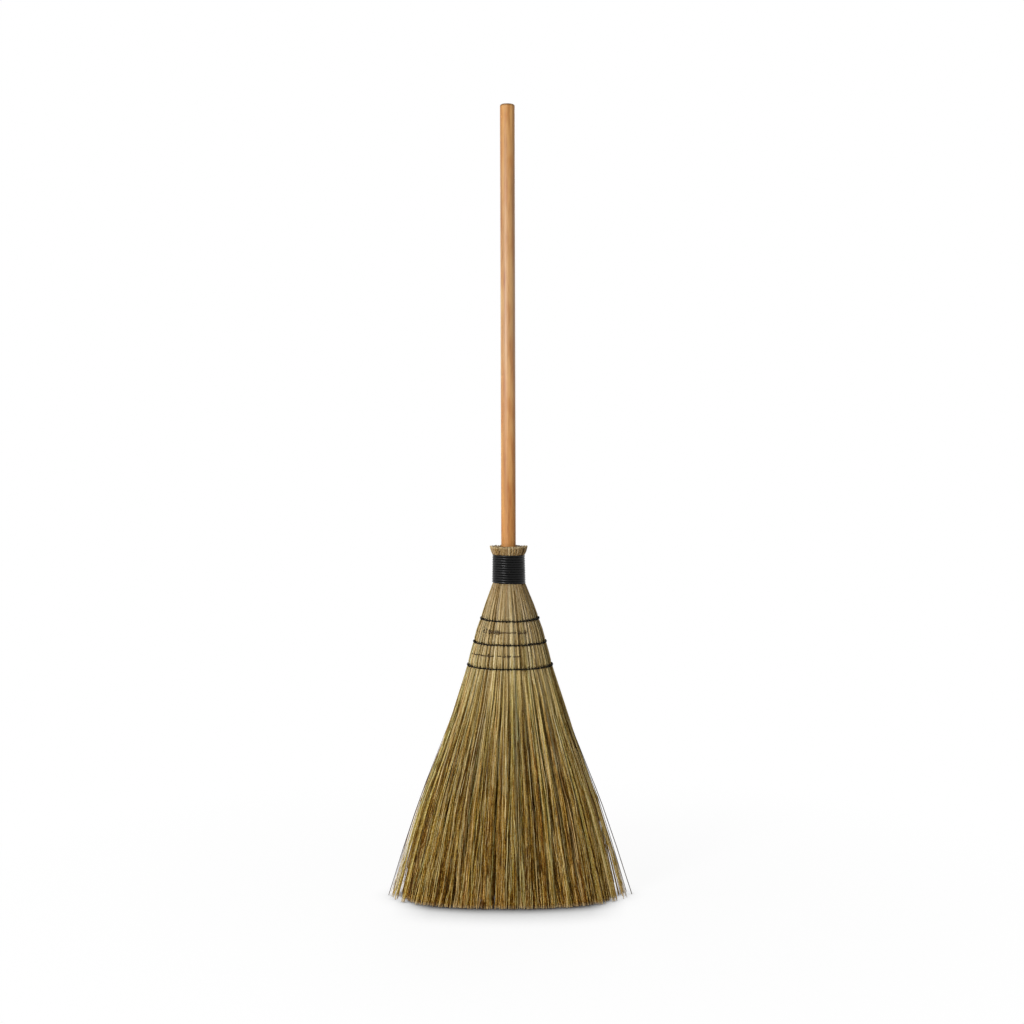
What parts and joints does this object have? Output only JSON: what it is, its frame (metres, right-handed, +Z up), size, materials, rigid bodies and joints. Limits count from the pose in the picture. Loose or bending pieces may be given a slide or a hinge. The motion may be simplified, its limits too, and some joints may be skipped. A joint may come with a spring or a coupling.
{
  "type": "coconut broom",
  "caption": "Upright broom with a round wooden handle, a cord-wound neck and a sewn, fan-shaped head of tied natural fibre cut flat to sweep and stand on.",
  "frame": {"origin": "on the floor, under the middle of the sweep, with the broom standing upright on its cut tips", "axes": "+Z up along the handle, X across the wide side of the fan, -Y towards the front as pictured"},
  "size_m": [0.395, 0.172, 1.299],
  "materials": {
    "handle_wood": "clear satin lacquer on straight-grained pale hardwood",
    "outer_fibre": "dry natural fibre, tan to olive, browner at the tips",
    "inner_fibre": "dry natural fibre, tan to brown",
    "black_cord": "black twisted cord with a soft satin sheen",
    "natural_cord": "thin brown natural thread",
    "binding_steel": "plain bright steel"
  },
  "bodies": {
    "root": {"handle": "handle_wood", "outer_bundle_01": "outer_fibre", "outer_bundle_02": "outer_fibre", "outer_bundle_03": "outer_fibre", "outer_bundle_04": "outer_fibre", "outer_bundle_05": "outer_fibre", "outer_bundle_06": "outer_fibre", "outer_bundle_07": "outer_fibre", "outer_bundle_08": "outer_fibre", "outer_bundle_09": "outer_fibre", "outer_bundle_10": "outer_fibre", "outer_bundle_11": "outer_fibre", "outer_bundle_12": "outer_fibre", "outer_bundle_13": "outer_fibre", "outer_bundle_14": "outer_fibre", "outer_bundle_15": "outer_fibre", "outer_bundle_16": "outer_fibre", "outer_bundle_17": "outer_fibre", "outer_bundle_18": "outer_fibre", "outer_bundle_19": "outer_fibre", "outer_bundle_20": "outer_fibre", "outer_bundle_21": "outer_fibre", "outer_bundle_22": "outer_fibre", "outer_bundle_23": "outer_fibre", "outer_bundle_24": "outer_fibre", "outer_bundle_25": "outer_fibre", "outer_bundle_26": "outer_fibre", "inner_bundle_1": "inner_fibre", "inner_bundle_2": "inner_fibre", "inner_bundle_3": "inner_fibre", "inner_bundle_4": "inner_fibre", "inner_bundle_5": "inner_fibre", "inner_bundle_6": "inner_fibre", "inner_bundle_7": "inner_fibre", "inner_bundle_8": "inner_fibre", "neck_winding": "black_cord", "stitch_row_1": "black_cord", "stitch_row_2": "black_cord", "stitch_row_3": "black_cord", "thin_row_1": "natural_cord", "thin_row_2": "natural_cord", "inner_binding": "binding_steel", "nail_1": "binding_steel", "nail_2": "binding_steel"}
  },
  "joints": []
}
